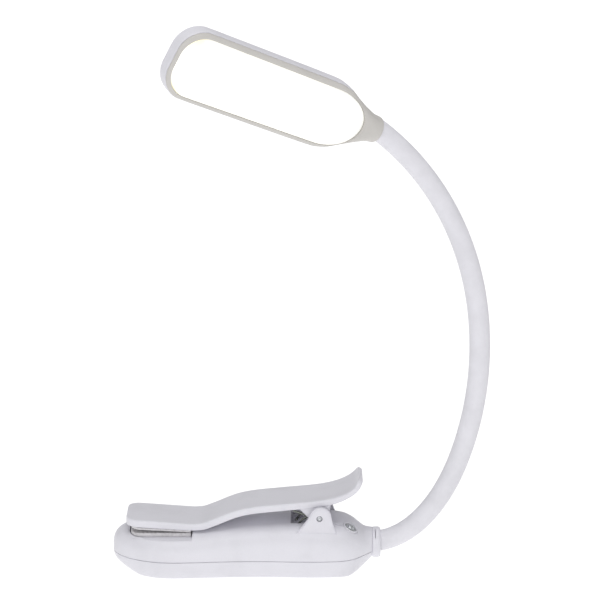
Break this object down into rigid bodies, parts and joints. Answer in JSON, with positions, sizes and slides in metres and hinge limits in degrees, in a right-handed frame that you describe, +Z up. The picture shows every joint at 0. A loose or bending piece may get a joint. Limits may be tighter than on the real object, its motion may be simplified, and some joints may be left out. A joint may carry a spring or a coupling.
{
  "type": "clip-on reading lamp",
  "caption": "Rechargeable clip-on reading lamp: a spring clip base, a bendable sleeved neck and a slim rounded light head with a diffuser panel.",
  "frame": {"origin": "middle of the base's flat underside, on the base's long centre line", "axes": "+Z up out of the underside, +X from the jaw towards the neck along the base's centre line, -Y to the side the lit panel faces"},
  "size_m": [0.1717, 0.087, 0.2596],
  "materials": {
    "shell_plastic": "fine satin, off-white",
    "frame_plastic": "fine satin, warm light grey",
    "sleeve_silicone": "soft satin, off-white",
    "jaw_rubber": "matt, warm grey",
    "spring_steel": "drawn wire",
    "steel": "zinc plated",
    "bright_metal": "polished plating",
    "plated_button": "silvery plating on moulded plastic",
    "diffuser_acrylic": "milky, lit",
    "reflector_white": "matt white",
    "led_phosphor": "yellow phosphor under clear resin",
    "board_laminate": "solder mask",
    "led_board_laminate": "white solder mask",
    "pouch_foil": "film-wrapped pouch",
    "foam": "closed-cell foam",
    "lead_insulation": "flexible insulation",
    "switch_body": "black moulding"
  },
  "bodies": {
    "base": {"arm_core_0": "spring_steel", "arm_lead": "lead_insulation", "arm_sleeve_0": "sleeve_silicone", "base_lower_shell": "shell_plastic", "base_screw_1": "steel", "base_screw_2": "steel", "base_screw_3": "steel", "base_screw_4": "steel", "base_upper_shell": "shell_plastic", "battery_cell": "pouch_foil", "battery_foam_pad": "foam", "battery_lead": "lead_insulation", "button_ring": "bright_metal", "charging_port": "steel", "collar_ring": "shell_plastic", "control_board": "board_laminate", "lower_jaw_pad": "jaw_rubber", "neck_anchor": "steel", "pivot_pin": "bright_metal", "switch_board": "board_laminate", "switch_lead": "lead_insulation", "tact_switch": "switch_body", "torsion_spring": "spring_steel"},
    "lever": {"clip_lever": "shell_plastic", "upper_jaw_pad": "jaw_rubber"},
    "button": {"power_button": "plated_button"},
    "arm_1": {"arm_sleeve_1": "sleeve_silicone", "arm_core_1": "spring_steel"},
    "arm_2": {"arm_sleeve_2": "sleeve_silicone", "arm_core_2": "spring_steel"},
    "arm_3": {"arm_sleeve_3": "sleeve_silicone", "arm_core_3": "spring_steel"},
    "arm_4": {"arm_sleeve_4": "sleeve_silicone", "arm_core_4": "spring_steel"},
    "arm_5": {"arm_sleeve_5": "sleeve_silicone", "arm_core_5": "spring_steel"},
    "arm_6": {"arm_sleeve_6": "sleeve_silicone", "arm_core_6": "spring_steel"},
    "arm_7": {"arm_sleeve_7": "sleeve_silicone", "arm_core_7": "spring_steel"},
    "arm_8": {"arm_sleeve_8": "sleeve_silicone", "arm_core_8": "spring_steel"},
    "arm_9": {"arm_sleeve_9": "sleeve_silicone", "arm_core_9": "spring_steel"},
    "head": {"arm_core_10": "spring_steel", "arm_sleeve_10": "sleeve_silicone", "diffuser_panel": "diffuser_acrylic", "head_back_cover": "shell_plastic", "head_front_frame": "frame_plastic", "head_lead": "lead_insulation", "led_1": "led_phosphor", "led_2": "led_phosphor", "led_3": "led_phosphor", "led_4": "led_phosphor", "led_5": "led_phosphor", "led_6": "led_phosphor", "led_board": "led_board_laminate", "reflector_tray": "reflector_white"}
  },
  "joints": [
    {"name": "lever_hinge", "type": "hinge", "parent": "base", "child": "lever", "pos_m": [0.0346, 0, 0.0272], "axis": [0, 1, 0], "range_deg": [0, 24], "stiffness_Nm_per_rad": 0.5, "springref_deg": -45.84, "deforming": ["torsion_spring"]},
    {"name": "button_slide", "type": "slide", "parent": "base", "child": "button", "axis": [-0.4525, 0.1764, -0.8741], "range_m": [0, 0.0008], "stiffness_N_per_m": 800, "springref_m": -0.001},
    {"name": "lower_bend_1", "type": "hinge", "parent": "base", "child": "arm_1", "pos_m": [0.06993, 0, 0.01353], "axis": [0, -1, 0], "range_deg": [-15, 8]},
    {"name": "lower_bend_2", "type": "hinge", "parent": "arm_1", "child": "arm_2", "pos_m": [0.08652, 0, 0.02779], "axis": [0, -1, 0], "range_deg": [-15, 8]},
    {"name": "side_bend_1", "type": "hinge", "parent": "arm_2", "child": "arm_3", "pos_m": [0.09711, 0, 0.04712], "axis": [-0.9282, 0, 0.372], "range_deg": [-12, 12]},
    {"name": "lower_bend_3", "type": "hinge", "parent": "arm_3", "child": "arm_4", "pos_m": [0.10355, 0, 0.06823], "axis": [0, -1, 0], "range_deg": [-15, 8]},
    {"name": "lower_bend_4", "type": "hinge", "parent": "arm_4", "child": "arm_5", "pos_m": [0.10689, 0, 0.09006], "axis": [0, -1, 0], "range_deg": [-15, 8]},
    {"name": "upper_bend_1", "type": "hinge", "parent": "arm_5", "child": "arm_6", "pos_m": [0.10708, -0.00004, 0.11214], "axis": [0.0004, -1, -0.0057], "range_deg": [-15, 10]},
    {"name": "upper_bend_2", "type": "hinge", "parent": "arm_6", "child": "arm_7", "pos_m": [0.10405, -0.00037, 0.13401], "axis": [0.0059, -0.9996, -0.027], "range_deg": [-15, 10]},
    {"name": "side_bend_2", "type": "hinge", "parent": "arm_7", "child": "arm_8", "pos_m": [0.09759, -0.00138, 0.15509], "axis": [-0.9283, 0, -0.3719], "range_deg": [-12, 12]},
    {"name": "upper_bend_3", "type": "hinge", "parent": "arm_8", "child": "arm_9", "pos_m": [0.08774, -0.00341, 0.17474], "axis": [0.0628, -0.9927, -0.1027], "range_deg": [-15, 10]},
    {"name": "upper_bend_4", "type": "hinge", "parent": "arm_9", "child": "head", "pos_m": [0.07482, -0.00682, 0.1923], "axis": [0.1256, -0.9817, -0.1434], "range_deg": [-15, 10]}
  ],
  "couplings": [
    {"joint": "lower_bend_2", "follows": "lower_bend_1", "ratio": 1},
    {"joint": "lower_bend_3", "follows": "lower_bend_1", "ratio": 1},
    {"joint": "lower_bend_4", "follows": "lower_bend_1", "ratio": 1},
    {"joint": "upper_bend_2", "follows": "upper_bend_1", "ratio": 1},
    {"joint": "side_bend_2", "follows": "side_bend_1", "ratio": 1},
    {"joint": "upper_bend_3", "follows": "upper_bend_1", "ratio": 1},
    {"joint": "upper_bend_4", "follows": "upper_bend_1", "ratio": 1}
  ]
}
